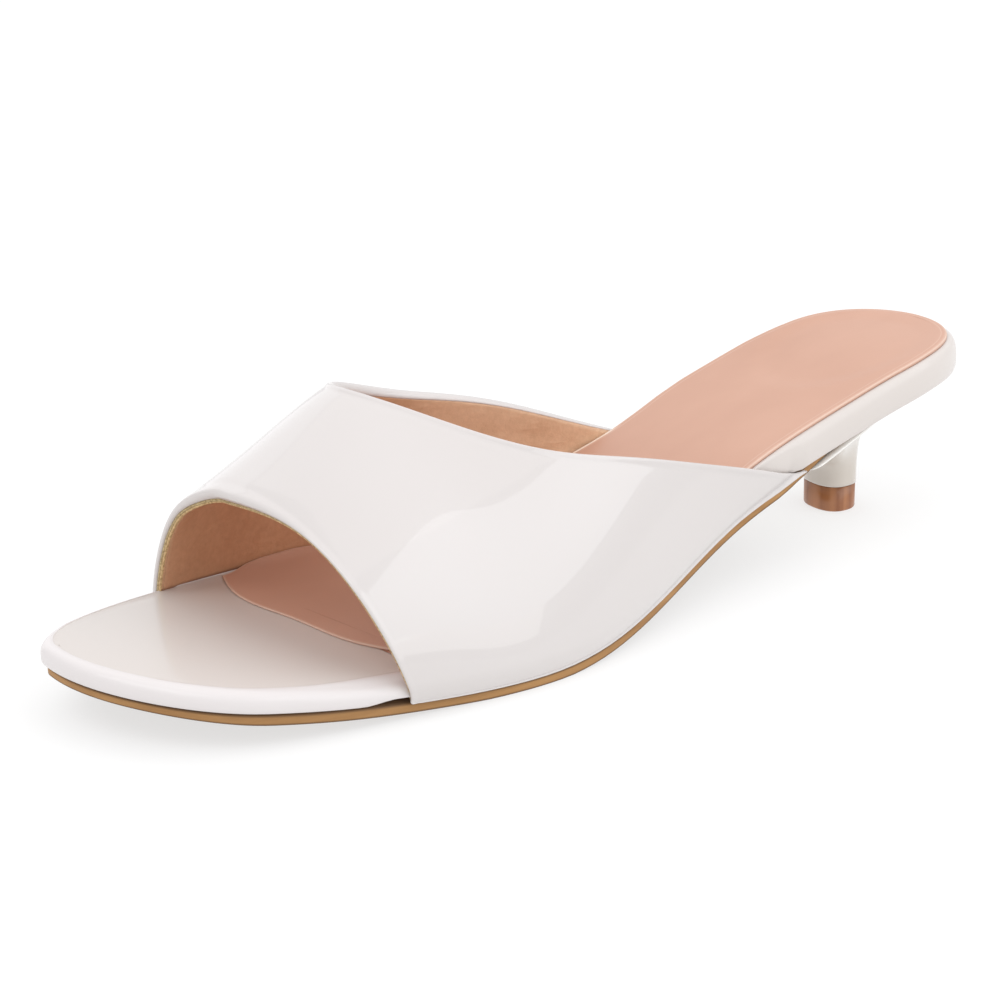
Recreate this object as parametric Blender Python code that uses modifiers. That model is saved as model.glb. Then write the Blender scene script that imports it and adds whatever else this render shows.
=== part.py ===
"""Kitten heel mule for the left foot, about European size 38, in metres.

The shoe stands on the floor at z = 0, on its heel's top piece and the forefoot of its outsole.
The toe points to -Y and the outer side of the foot lies to +X. Inside this file a place on the
foot is written as length from the back of the heel, side (positive to the outer side) and height.
A table holds its lengths as shares of the footbed's length, and its other columns as shares of
the sizes named beside it.
"""
from collections import namedtuple
import math

import bmesh
import bpy
import numpy as np

# Driving sizes of the sole
LENGTH = 0.248            # footbed, back of the heel seat to the tip of the toe
BALL_WIDTH = 0.0855       # footbed across the ball of the foot
WAIST_WIDTH = 0.0514      # footbed across the waist, in front of the heel seat
TOE_SWING = 0.0056        # how far the toe's tip lies to the inner side of the heel's middle
SEAT_HEIGHT = 0.0437      # floor to the footbed's top at the heel
TOE_SPRING = 0.0094       # rise of the toe's tip above the ball
HEEL_ROUND = 0.033        # length over which the back of the heel rounds off
TOE_ROUND_OUTER = 0.031   # the same for the toe's outer side
TOE_ROUND_INNER = 0.082   # the same for the toe's inner side
BOARD_TOE = 0.0046        # thickness of the wrapped footbed in the forefoot
BOARD_HEEL = 0.0080       # its thickness in the heel seat
BOARD_ARCH = 0.0008       # how much thicker the shank makes it under the arch
OUTSOLE = 0.0026          # thickness of the outsole
OUTSOLE_SKIVED = 0.0008   # where it is pared away under the heel seat
OUTSOLE_STEP = 0.0012     # how far the outsole's edge stands in from the footbed's
OUTSOLE_STEP_SEAT = 0.0040
TREAD_FLAT = 0.0001       # depth to which the forefoot is pressed flat on the floor
SOCK = 0.0007             # thickness of the sock lining
SOCK_MARGIN = 0.0026      # how far its edge stands in from the footbed's
SOCK_FRONT = 0.1938       # length to the foremost point of its front edge
SOCK_FRONT_SIDE = -0.020  # where across the foot that point lies
SOCK_FRONT_RADIUS = 0.083
GAP = 0.0003              # between pieces that are glued face to face

# Driving sizes of the upper
WALL = 0.0018             # patent face and lining together
WALL_SKIVED = 0.0005      # the pared tip of each wing
SKIVE_RUN = 0.016         # length over which the wing thins out
PROUD_WAIST = 0.0004      # how far the upper swells past the footbed's edge at the waist
PROUD_TOE = 0.0015        # the same at the toe opening
TUCK = 0.0016             # how far it tucks in again at the feather line
TUCK_HEIGHT = 0.0050      # height over which it does
VAMP_HEIGHT = 0.0536      # feather line to the ridge at the top line's peak
OPENING_HEIGHT = 0.0345   # feather line to the ridge at the toe opening

# Driving sizes of the heel
BREAST = 0.063            # back of the footbed to the heel's breast
SEAT_BACK = 0.012         # back of the footbed to the back of the heel's seat
SEAT_FRONT = 0.006        # how far in front of its widest place the heel's seat ends
SEAT_STEP = 0.0026        # how far the heel's lip stands in from the footbed's edge at the breast
LIP = 0.0012              # thickness of the lip around the heel's seat
LIP_BEVEL = 0.0005
STEM_AT = 0.0324          # back of the footbed to the middle of the stem
STEM_SIDE = -0.0014       # middle of the stem across the foot
STEM_LENGTH = 0.0114
STEM_WIDTH = 0.0141
STEM_FLARE = 3.4          # how late the stem widens into the seat
TOP_PIECE = 0.0065        # thickness of the top piece
TOP_PIECE_STEP = 0.0002   # how far it stands in from the stem
TOP_PIECE_EDGE = 0.0004   # rounding of its lower edge
OUTSOLE_EDGE = 0.0005     # rounding of the outsole's lower edge
OUTSOLE_EDGE_DROP = 0.75  # share of its thickness at which the rounding starts

# Where the footbed steps in under the upper
FOOT_TURN = 0.06          # turn over the foot at which the upper's ends are read
FRONT_STEP = 0.0010       # length over which the footbed steps out at the toe opening
TIP_STEP = 0.0046         # the same behind each wing tip
TIP_CLEARANCE = 0.0006    # from that step to the wing tip
SLANT_STEP = 0.0001       # height over which the slant of the upper's foot is read

# Powers of the rounded ends: 2 is an ellipse, more is squarer
HEEL_POWER = 2.0
TOE_POWER_OUTER = 2.15
TOE_POWER_INNER = 1.8
SEAT_POWER_BACK = 1.75
SEAT_POWER_FRONT = 4.0
STEM_POWER = 2.4

# Stations along the foot, points round half an oval, and the upper's mesh
STATIONS = 46
HALF_OVAL = 20
FLARE_ROWS = 10
UPPER_ROWS = 14
UPPER_COLUMNS = 60
UPPER_CROWDING = 0.115    # how closely the mesh's columns crowd towards the upper's feet
SOCK_SIDE_POINTS = 34
SOCK_FRONT_POINTS = 8
RIM_POINTS = 400          # points of the fine outline that the sock is cut from
STATION_GAP = 0.0012      # least distance between two stations
SHARP_ANGLE = math.radians(38)

Plan = namedtuple("Plan", "along spread middle")
Profile = namedtuple("Profile", "along fall spring")
Edge = namedtuple("Edge", "inset drop")
Vamp = namedtuple("Vamp", "along rise ridge outer_power inner_power")
Cut = namedtuple("Cut", "turn top_line opening")

# The footbed from above. spread runs from 0 at the waist's width to 1 at the ball's, and middle is
# the middle line's place across the foot as a share of the toe's swing.
PLAN = (
    Plan(0.00, 0.07, 0.00),
    Plan(0.08, 0.00, 0.11),
    Plan(0.16, 0.00, 0.21),
    Plan(0.26, -0.02, 0.34),
    Plan(0.36, 0.04, 0.47),
    Plan(0.44, 0.34, 0.56),
    Plan(0.52, 0.72, 0.60),
    Plan(0.62, 1.00, 0.51),
    Plan(0.72, 0.91, 0.31),
    Plan(0.82, 0.77, 0.13),
    Plan(0.92, 0.53, -0.41),
    Plan(1.00, 0.24, -1.00),
)

# The footbed from the side. fall runs from 1 at the seat's height to 0 at the ball's, and spring
# from 0 at the ball to 1 at the tip of the toe.
PROFILE = (
    Profile(0.00, 1.000, 0.00),
    Profile(0.10, 0.978, 0.00),
    Profile(0.20, 0.829, 0.00),
    Profile(0.32, 0.580, 0.00),
    Profile(0.44, 0.265, 0.00),
    Profile(0.54, 0.061, 0.00),
    Profile(0.64, 0.000, 0.00),
    Profile(0.74, 0.000, 0.11),
    Profile(0.86, 0.000, 0.48),
    Profile(1.00, 0.000, 1.00),
)
SWELLS = (0.60, 0.76)     # shares of the length between which the upper swells out further
THICKENS = (0.28, 0.67)   # shares of the length between which the footbed thins to the forefoot
SKIVES = (0.19, 0.285)    # shares between which the outsole is pared away
ARCH_RISES = (0.265, 0.30)
ARCH_ENDS = (0.36, 0.54)

# The footbed's edge, as steps in from its widest line and as shares of its thickness from the top
FOOTBED_EDGE = (
    Edge(0.0020, 1.00),
    Edge(0.0006, 0.84),
    Edge(0.0000, 0.52),
    Edge(0.0004, 0.22),
    Edge(0.0012, 0.06),
    Edge(0.0026, 0.00),
)

# The upper's sections. rise runs from 0 at the toe opening's height to 1 at the vamp's, and ridge is
# the ridge's place across the foot as a share of the ball's width. The powers shape each side.
VAMP = (
    Vamp(0.280, 1.04, -0.07, 2.17, 2.23),
    Vamp(0.440, 1.52, -0.19, 1.97, 2.34),
    Vamp(0.560, 1.19, -0.23, 1.97, 2.46),
    Vamp(0.665, 0.94, -0.19, 1.78, 2.27),
    Vamp(0.760, 0.33, -0.14, 2.17, 2.25),
    Vamp(0.850, -0.35, -0.16, 2.18, 2.15),
)

# Where the upper is cut: turn runs over the foot from 0 at the outer feather line to 1 at the inner
CUTS = (
    Cut(0.00, 0.277, 0.755),
    Cut(0.10, 0.388, 0.771),
    Cut(0.22, 0.523, 0.785),
    Cut(0.36, 0.632, 0.797),
    Cut(0.50, 0.672, 0.814),
    Cut(0.64, 0.653, 0.830),
    Cut(0.78, 0.555, 0.837),
    Cut(0.90, 0.432, 0.843),
    Cut(1.00, 0.304, 0.848),
)

OUTER, INNER = 1, -1
BALL_TOP = BOARD_TOE + GAP + OUTSOLE - TREAD_FLAT


def cubic(rows, column):
    """Returns a natural cubic through one column of a table, read against the first column."""
    x = np.array([row[0] for row in rows])
    y = np.array([getattr(row, column) for row in rows])
    step = np.diff(x)
    bend = np.zeros(len(x))
    system = np.diag(2 * (step[:-1] + step[1:])) + np.diag(step[1:-1], 1) + np.diag(step[1:-1], -1)
    bend[1:-1] = np.linalg.solve(system, 6 * np.diff(np.diff(y) / step))

    def read(at):
        at = np.clip(at, x[0], x[-1])
        i = np.clip(np.searchsorted(x, at, side="right") - 1, 0, len(x) - 2)
        before, after, run = at - x[i], x[i + 1] - at, step[i]
        curved = (bend[i] * after ** 3 + bend[i + 1] * before ** 3) / (6 * run)
        start = (y[i] / run - bend[i] * run / 6) * after
        end = (y[i + 1] / run - bend[i + 1] * run / 6) * before
        return curved + start + end

    return read


spread_at = cubic(PLAN, "spread")
middle_at = cubic(PLAN, "middle")
fall_at = cubic(PROFILE, "fall")
spring_at = cubic(PROFILE, "spring")
rise_at = cubic(VAMP, "rise")
ridge_at = cubic(VAMP, "ridge")
outer_power_at = cubic(VAMP, "outer_power")
inner_power_at = cubic(VAMP, "inner_power")
top_line_at = cubic(CUTS, "top_line")
opening_at = cubic(CUTS, "opening")


def ease(value, start, end):
    """0 before start, 1 after end, smooth between."""
    share = np.clip((value - start) / (end - start), 0.0, 1.0)
    return share * share * (3 - 2 * share)


def cap(run, length, power):
    """The share of its full width that a form has at a distance run from its rounded end."""
    reach = np.clip(1 - run / length, 0.0, 1.0)
    return (1 - reach ** power) ** (1 / power)


def outline(along, side):
    """How far across the foot the footbed's edge lies."""
    share = along / LENGTH
    half = (WAIST_WIDTH + (BALL_WIDTH - WAIST_WIDTH) * spread_at(share)) / 2
    toe_round = np.where(side > 0, TOE_ROUND_OUTER, TOE_ROUND_INNER)
    toe_power = np.where(side > 0, TOE_POWER_OUTER, TOE_POWER_INNER)
    rounding = cap(along, HEEL_ROUND, HEEL_POWER) * cap(LENGTH - along, toe_round, toe_power)
    return TOE_SWING * middle_at(share) + side * half * rounding


def top(along):
    """Height of the footbed's top."""
    share = along / LENGTH
    return BALL_TOP + (SEAT_HEIGHT - BALL_TOP) * fall_at(share) + TOE_SPRING * spring_at(share)


def board(along):
    """Thickness of the footbed."""
    share = along / LENGTH
    arch = ease(share, *ARCH_RISES) * (1 - ease(share, *ARCH_ENDS))
    return BOARD_HEEL + (BOARD_TOE - BOARD_HEEL) * ease(share, *THICKENS) + BOARD_ARCH * arch


def feather(along):
    """Height of the feather line, where the footbed's underside and the upper's foot lie."""
    return top(along) - board(along)


def outsole_bottom(along):
    thickness = OUTSOLE_SKIVED + (OUTSOLE - OUTSOLE_SKIVED) * ease(along / LENGTH, *SKIVES)
    return np.maximum(feather(along) - GAP - thickness, 0.0)


def wing_tip(side):
    """Length to the pared tip of the upper's wing."""
    return LENGTH * top_line_at(0.0 if side > 0 else 1.0)


def wall(along, side):
    """The upper's thickness, which thins out towards the tip of each wing."""
    return WALL_SKIVED + (WALL - WALL_SKIVED) * ease(along - wing_tip(side), 0.0, SKIVE_RUN)


def swell(along, side):
    """How far the upper's foot stands past the footbed's edge."""
    full = PROUD_WAIST + (PROUD_TOE - PROUD_WAIST) * ease(along / LENGTH, *SWELLS)
    return full * ease(along - wing_tip(side), 0.0, SKIVE_RUN)


def swell_on(along, side):
    return np.where(side > 0, swell(along, OUTER), swell(along, INNER))


def tuck(height):
    """How far the upper tucks in under its widest line, at a height above the feather line."""
    low = np.clip(1 - height / TUCK_HEIGHT, 0.0, 1.0)
    return TUCK * low * low


def vamp_height(along):
    return OPENING_HEIGHT + (VAMP_HEIGHT - OPENING_HEIGHT) * rise_at(along / LENGTH)


def upper_point(along, turn):
    """A point of the upper's outer face, at a length and a turn over the foot from 0 to 1."""
    angle = math.pi * turn
    across, up = np.cos(angle), np.clip(np.sin(angle), 0.0, 1.0)
    side = np.where(across >= 0, OUTER, INNER)
    share = along / LENGTH
    power = np.where(across >= 0, outer_power_at(share), inner_power_at(share))
    ridge = BALL_WIDTH * ridge_at(share)
    foot = outline(along, side) + side * swell_on(along, side)
    height = vamp_height(along) * up ** (2 / power)
    drawn = ridge + (foot - ridge) * np.abs(across) ** (2 / power) - side * tuck(height)
    return (along, drawn, feather(along) + height)


def lean(along, side, height):
    """How far the upper's outer face leans in over the foot at a height above the feather line."""
    share = along / LENGTH
    power = outer_power_at(share) if side > 0 else inner_power_at(share)
    reach = abs(outline(along, side) - BALL_WIDTH * ridge_at(share))
    up = np.clip(height / vamp_height(along), 0.0, 1.0)
    return reach * (1 - (1 - up ** power) ** (1 / power)) + tuck(height)


def covered(side):
    """The lengths between which the footbed's edge lies under the upper."""
    turns = (0.0, FOOT_TURN) if side > 0 else (1.0, 1.0 - FOOT_TURN)
    front = LENGTH * max(float(opening_at(turn)) for turn in turns)
    return wing_tip(side) - TIP_CLEARANCE, front + GAP


def cover(along, side, height):
    """How far the footbed stands in under the upper, and 0 where it is bare."""
    slant = (lean(along, side, height + SLANT_STEP) - lean(along, side, height)) / SLANT_STEP
    thick = (wall(along, side) + GAP) * np.sqrt(1 + slant ** 2)
    inside = thick - swell(along, side) + lean(along, side, height)
    back, front = covered(side)
    return inside * ease(along, back - TIP_STEP, back) * (1 - ease(along, front, front + FRONT_STEP))


def stations():
    """Lengths of the footbed's sections, close at both ends and at the ends of the upper."""
    even = [LENGTH * (1 - math.cos(math.pi * i / STATIONS)) / 2 for i in range(STATIONS + 1)]
    steps = []
    for side in (OUTER, INNER):
        back, front = covered(side)
        steps += [back, front, front + FRONT_STEP]
    kept = [along for along in even if all(abs(along - step) > STATION_GAP for step in steps)]
    return np.array(sorted(kept + steps))


def loop_of(outer, inner):
    """Joins the outer and the inner half of an outline into one loop, from its back point."""
    return np.concatenate([outer, inner[-2:0:-1]])


def rim(along, inset):
    """The footbed's outline as a loop, drawn in by inset(along, side)."""
    halves = [np.stack([along, outline(along, side)], axis=1) for side in (OUTER, INNER)]
    loop = loop_of(*halves)
    tangent = np.roll(loop, -1, axis=0) - np.roll(loop, 1, axis=0)
    inward = np.stack([tangent[:, 1], -tangent[:, 0]], axis=1)
    inward /= np.linalg.norm(inward, axis=1, keepdims=True)
    depth = loop_of(*[inset(along, side) for side in (OUTER, INNER)])
    return loop + inward * depth[:, None]


def oval(length_at, side_at, back, front, half, back_power, front_power):
    """An oval loop whose back and front halves may differ, from its back point."""
    angle = np.linspace(math.pi, 0.0, 2 * HALF_OVAL + 1)
    behind = np.cos(angle) < 0
    power = np.where(behind, back_power, front_power)
    reach = np.where(behind, back, front)
    along = length_at + reach * np.sign(np.cos(angle)) * np.abs(np.cos(angle)) ** (2 / power)
    across = half * np.clip(np.sin(angle), 0.0, 1.0) ** (2 / power)
    return loop_of(*[np.stack([along, side_at + side * across], axis=1) for side in (OUTER, INNER)])


WIDE_PART = np.linspace(0.4, 0.8, 81) * LENGTH
OUTMOST = (outline(WIDE_PART, OUTER) + swell(WIDE_PART, OUTER)).max()
INMOST = (outline(WIDE_PART, INNER) - swell(WIDE_PART, INNER)).min()
MIDDLE_X = (OUTMOST + INMOST) / 2
MIDDLE_Y = LENGTH / 2


def place(along, across, height):
    """Length, side and height on the foot to the model's own axes."""
    return (float(across) - MIDDLE_X, MIDDLE_Y - float(along), float(height))


def material(name, colour, roughness, coat=0.0):
    made = bpy.data.materials.new(name)
    made.use_nodes = True
    surface = made.node_tree.nodes["Principled BSDF"]
    surface.inputs["Base Color"].default_value = (*colour, 1.0)
    surface.inputs["Roughness"].default_value = roughness
    surface.inputs["Metallic"].default_value = 0.0
    surface.inputs["Coat Weight"].default_value = coat
    return made


def add_object(name, points, faces, finish, collection):
    mesh = bpy.data.meshes.new(name)
    mesh.from_pydata(points, [], faces)
    shape = bmesh.new()
    shape.from_mesh(mesh)
    bmesh.ops.recalc_face_normals(shape, faces=shape.faces)
    shape.to_mesh(mesh)
    shape.free()
    mesh.shade_smooth()
    mesh.set_sharp_from_angle(angle=SHARP_ANGLE)
    mesh.materials.append(finish)
    made = bpy.data.objects.new(name, mesh)
    collection.objects.link(made)
    return made


def loft(name, rings, finish, collection):
    """A closed solid through loops stacked from the floor up, each (loop in plan, heights)."""
    size = len(rings[0][0])
    half = size // 2
    points = [place(*plan, height) for loop, heights in rings for plan, height in zip(loop, heights)]
    faces = []
    for level in range(len(rings) - 1):
        low, high = level * size, (level + 1) * size
        for i in range(size):
            j = (i + 1) % size
            faces.append((low + i, low + j, high + j, high + i))
    for base in (0, (len(rings) - 1) * size):
        faces.append((base, base + 1, base + size - 1))
        for i in range(1, half - 1):
            faces.append((base + i, base + i + 1, base + size - i - 1, base + size - i))
        faces.append((base + half - 1, base + half, base + half + 1))
    return add_object(name, points, faces, finish, collection)


def build_outsole(finish, collection):
    along = stations()

    def inset(at, side, edge=0.0):
        seat = ease(at / LENGTH, *SKIVES)
        return OUTSOLE_STEP_SEAT + (OUTSOLE_STEP - OUTSOLE_STEP_SEAT) * seat + edge

    rings = []
    for edge, drop in ((OUTSOLE_EDGE, 1.0), (0.0, OUTSOLE_EDGE_DROP), (0.0, 0.0)):
        loop = rim(along, lambda at, side: inset(at, side, edge))
        high = feather(loop[:, 0]) - GAP
        rings.append((loop, high + (outsole_bottom(loop[:, 0]) - high) * drop))
    return loft("outsole", rings, finish, collection)


def build_footbed(finish, collection):
    along = stations()
    rings = []
    for row in FOOTBED_EDGE:
        def inset(at, side, row=row):
            return np.maximum(row.inset, cover(at, side, (1 - row.drop) * board(at)))
        loop = rim(along, inset)
        rings.append((loop, top(loop[:, 0]) - row.drop * board(loop[:, 0])))
    return loft("footbed", rings, finish, collection)


def sock_half(side):
    """One half of the sock's outline: up the side of the foot, then along its front edge."""
    dense = np.linspace(0.0, 1.0, RIM_POINTS)
    along = LENGTH * (1 - np.cos(math.pi * dense)) / 2

    def inset(at, to_side):
        return np.maximum(SOCK_MARGIN, cover(at, to_side, board(at) + GAP + SOCK) + GAP)

    edge = rim(along, inset)
    halves = edge[:RIM_POINTS], np.concatenate([edge[:1], edge[:RIM_POINTS - 1:-1]])
    edge = halves[0] if side > 0 else halves[1]
    front = SOCK_FRONT - (edge[:, 1] - SOCK_FRONT_SIDE) ** 2 / (2 * SOCK_FRONT_RADIUS)
    edge = edge[edge[:, 0] < front]
    walked = np.concatenate([[0.0], np.cumsum(np.linalg.norm(np.diff(edge, axis=0), axis=1))])
    picks = np.linspace(0.0, walked[-1], SOCK_SIDE_POINTS)
    flank = np.stack([np.interp(picks, walked, edge[:, k]) for k in (0, 1)], axis=1)
    across = np.linspace(flank[-1, 1], SOCK_FRONT_SIDE, SOCK_FRONT_POINTS + 1)[1:]
    front = SOCK_FRONT - (across - SOCK_FRONT_SIDE) ** 2 / (2 * SOCK_FRONT_RADIUS)
    return np.concatenate([flank, np.stack([front, across], axis=1)])


def build_sock(finish, collection):
    loop = loop_of(sock_half(OUTER), sock_half(INNER))
    rings = []
    for rise in (GAP, GAP + SOCK):
        rings.append((loop, top(loop[:, 0]) + rise))
    return loft("sock", rings, finish, collection)


def build_upper(finish, collection):
    """The outer face as an open sheet from the top line to the toe opening, thickened inwards."""
    turns = np.linspace(0.0, 1.0, UPPER_COLUMNS + 1)
    turns -= UPPER_CROWDING * np.sin(2 * math.pi * turns)
    points, weights = [], []
    for row in range(UPPER_ROWS + 1):
        share = row / UPPER_ROWS
        for turn in turns:
            along = LENGTH * (top_line_at(turn) * (1 - share) + opening_at(turn) * share)
            side = OUTER if turn < 0.5 else INNER
            points.append(place(*upper_point(along, turn)))
            weights.append(float(wall(along, side)) / WALL)
    width = UPPER_COLUMNS + 1
    faces = []
    for row in range(UPPER_ROWS):
        for column in range(UPPER_COLUMNS):
            corner = row * width + column
            faces.append((corner, corner + 1, corner + width + 1, corner + width))
    upper = add_object("upper", points, faces, finish, collection)
    thickness = upper.vertex_groups.new(name="wall")
    for index, weight in enumerate(weights):
        thickness.add([index], weight, "REPLACE")
    shell = upper.modifiers.new("Wall", "SOLIDIFY")
    shell.thickness = WALL
    shell.offset = -1.0
    shell.use_even_offset = True
    shell.use_quality_normals = True
    shell.vertex_group = thickness.name
    return upper


def stem_loop(inset=0.0):
    return oval(STEM_AT, STEM_SIDE, STEM_LENGTH / 2 - inset, STEM_LENGTH / 2 - inset,
                STEM_WIDTH / 2 - inset, STEM_POWER, STEM_POWER)


def seat_loop(inset=0.0):
    """The heel's seat, as wide as the footbed at the breast."""
    widest = BREAST - SEAT_FRONT
    outer, inner = outline(widest, OUTER), outline(widest, INNER)
    half = (outer - inner) / 2 - SEAT_STEP - inset
    return oval(widest, (outer + inner) / 2, widest - SEAT_BACK - inset, SEAT_FRONT - inset,
                half, SEAT_POWER_BACK, SEAT_POWER_FRONT)


def build_heel(finish, collection):
    """A stem that flares up into a seat under the outsole, with a thin lip around it."""
    foot = TOP_PIECE + GAP
    stem, seat = stem_loop(), seat_loop()
    under = outsole_bottom(seat[:, 0]) - GAP
    rings = []
    for row in range(FLARE_ROWS + 1):
        share = row / FLARE_ROWS
        flare = share ** STEM_FLARE
        rings.append((stem + (seat - stem) * flare, foot + (under - LIP - foot) * share))
    rings.append((seat, under - LIP_BEVEL))
    beveled = seat_loop(LIP_BEVEL)
    rings.append((beveled, outsole_bottom(beveled[:, 0]) - GAP))
    return loft("heel", rings, finish, collection)


def build_top_piece(finish, collection):
    rings = []
    for inset, height in ((TOP_PIECE_EDGE, 0.0), (0.0, TOP_PIECE_EDGE), (0.0, TOP_PIECE)):
        loop = stem_loop(TOP_PIECE_STEP + inset)
        rings.append((loop, np.full(len(loop), height)))
    return loft("top_piece", rings, finish, collection)


def main():
    for old in list(bpy.data.objects):
        bpy.data.objects.remove(old, do_unlink=True)
    shoe = bpy.data.collections.new("kitten heel mule")
    bpy.context.scene.collection.children.link(shoe)
    patent = material("white patent", (0.86, 0.83, 0.82), 0.12, coat=1.0)
    tan = material("tan rubber", (0.52, 0.33, 0.17), 0.55)
    build_outsole(tan, shoe)
    build_footbed(patent, shoe)
    build_sock(material("salmon sock", (0.72, 0.44, 0.32), 0.5), shoe)
    build_upper(patent, shoe)
    build_heel(patent, shoe)
    build_top_piece(material("brown top piece", (0.42, 0.20, 0.09), 0.45), shoe)


main()
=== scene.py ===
"""The looks of the kitten heel mule, in metres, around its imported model.

A place on the foot is written as length from the back of the heel, side (positive to the outer
side) and height, as on the solids. The tables of the solids' form are repeated here, because the
finer surfaces follow the same form. Two things differ: the far side of the collar stands a little
higher, and the footbed's edge is drawn in closer to the wing tips.
"""

from collections import namedtuple
import math

import bmesh
import bpy
import numpy as np
from mathutils import Matrix, Vector


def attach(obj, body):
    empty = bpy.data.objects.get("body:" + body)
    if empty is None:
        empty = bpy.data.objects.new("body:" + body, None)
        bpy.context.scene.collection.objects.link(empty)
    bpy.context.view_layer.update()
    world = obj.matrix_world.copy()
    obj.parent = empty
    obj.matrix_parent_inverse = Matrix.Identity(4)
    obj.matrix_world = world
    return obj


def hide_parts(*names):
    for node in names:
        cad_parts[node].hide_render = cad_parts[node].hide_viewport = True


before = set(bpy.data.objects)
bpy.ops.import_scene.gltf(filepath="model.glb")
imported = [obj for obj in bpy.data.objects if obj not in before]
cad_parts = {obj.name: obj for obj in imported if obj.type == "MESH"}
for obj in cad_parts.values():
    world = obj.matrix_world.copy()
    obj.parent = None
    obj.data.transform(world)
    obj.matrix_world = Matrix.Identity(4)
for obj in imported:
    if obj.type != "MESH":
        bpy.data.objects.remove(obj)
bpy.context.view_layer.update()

# Driving sizes, as on the solids
LENGTH = 0.248
BALL_WIDTH = 0.0855
WAIST_WIDTH = 0.0514
TOE_SWING = 0.0056
SEAT_HEIGHT = 0.0437
TOE_SPRING = 0.0094
HEEL_ROUND = 0.033
TOE_ROUND_OUTER = 0.031
TOE_ROUND_INNER = 0.082
BOARD_TOE = 0.0046
BOARD_HEEL = 0.0080
BOARD_ARCH = 0.0008
OUTSOLE = 0.0026
OUTSOLE_SKIVED = 0.0008
OUTSOLE_STEP = 0.0012
OUTSOLE_STEP_SEAT = 0.0040
TREAD_FLAT = 0.0001
SOCK = 0.0007
SOCK_MARGIN = 0.0026
SOCK_FRONT_SIDE = -0.019
GAP = 0.0003
WALL = 0.0018
WALL_SKIVED = 0.0005
SKIVE_RUN = 0.016
PROUD_WAIST = 0.0004
PROUD_TOE = 0.0015
TUCK = 0.0016
TUCK_HEIGHT = 0.0050
VAMP_HEIGHT = 0.0536
OPENING_HEIGHT = 0.0345
BREAST = 0.063
SEAT_BACK = 0.012
SEAT_FRONT = 0.006
SEAT_STEP = 0.0026
LIP = 0.0012
STEM_AT = 0.0324
STEM_SIDE = -0.0014
STEM_LENGTH = 0.0114
STEM_WIDTH = 0.0141
STEM_FLARE = 3.4
TOP_PIECE = 0.0065
TOP_PIECE_STEP = 0.0002
TOP_PIECE_EDGE = 0.0004
FOOT_TURN = 0.06
FRONT_STEP = 0.0010
TIP_STEP = 0.0020
TIP_CLEARANCE = -0.0006
SLANT_STEP = 0.0001
HEEL_POWER = 2.0
TOE_POWER_OUTER = 2.15
TOE_POWER_INNER = 1.8
SEAT_POWER_BACK = 1.75
SEAT_POWER_FRONT = 4.0
STEM_POWER = 2.4
SWELLS = (0.60, 0.76)
THICKENS = (0.28, 0.67)
SKIVES = (0.19, 0.285)
ARCH_RISES = (0.265, 0.30)
ARCH_ENDS = (0.36, 0.54)
OUTER, INNER = 1, -1

Plan = namedtuple("Plan", "along spread middle")
Profile = namedtuple("Profile", "along fall spring")
Edge = namedtuple("Edge", "inset drop")
Vamp = namedtuple("Vamp", "along rise ridge outer_power inner_power")
Cut = namedtuple("Cut", "turn top_line opening")
Fold = namedtuple("Fold", "near_back near_depth far_back far_depth")

PLAN = (
    Plan(0.00, 0.07, 0.00),
    Plan(0.08, 0.00, 0.11),
    Plan(0.16, 0.00, 0.21),
    Plan(0.26, -0.02, 0.34),
    Plan(0.36, 0.04, 0.47),
    Plan(0.44, 0.34, 0.56),
    Plan(0.52, 0.72, 0.60),
    Plan(0.62, 1.00, 0.51),
    Plan(0.72, 0.91, 0.31),
    Plan(0.82, 0.77, 0.13),
    Plan(0.92, 0.53, -0.41),
    Plan(1.00, 0.24, -1.00),
)
PROFILE = (
    Profile(0.00, 1.000, 0.00),
    Profile(0.10, 0.978, 0.00),
    Profile(0.20, 0.829, 0.00),
    Profile(0.32, 0.580, 0.00),
    Profile(0.44, 0.265, 0.00),
    Profile(0.54, 0.061, 0.00),
    Profile(0.64, 0.000, 0.00),
    Profile(0.74, 0.000, 0.11),
    Profile(0.86, 0.000, 0.48),
    Profile(1.00, 0.000, 1.00),
)
VAMP = (
    Vamp(0.280, 1.04, -0.07, 2.17, 2.23),
    Vamp(0.440, 1.52, -0.19, 1.97, 2.34),
    Vamp(0.560, 1.19, -0.23, 1.97, 2.46),
    Vamp(0.665, 0.94, -0.19, 1.78, 2.27),
    Vamp(0.760, 0.33, -0.14, 2.17, 2.25),
    Vamp(0.850, -0.35, -0.16, 2.18, 2.15),
)
CUTS = (
    Cut(0.00, 0.277, 0.755),
    Cut(0.10, 0.388, 0.771),
    Cut(0.22, 0.523, 0.785),
    Cut(0.36, 0.632, 0.797),
    Cut(0.50, 0.672, 0.814),
    Cut(0.64, 0.649, 0.830),
    Cut(0.78, 0.555, 0.837),
    Cut(0.90, 0.426, 0.843),
    Cut(1.00, 0.304, 0.848),
)

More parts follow.
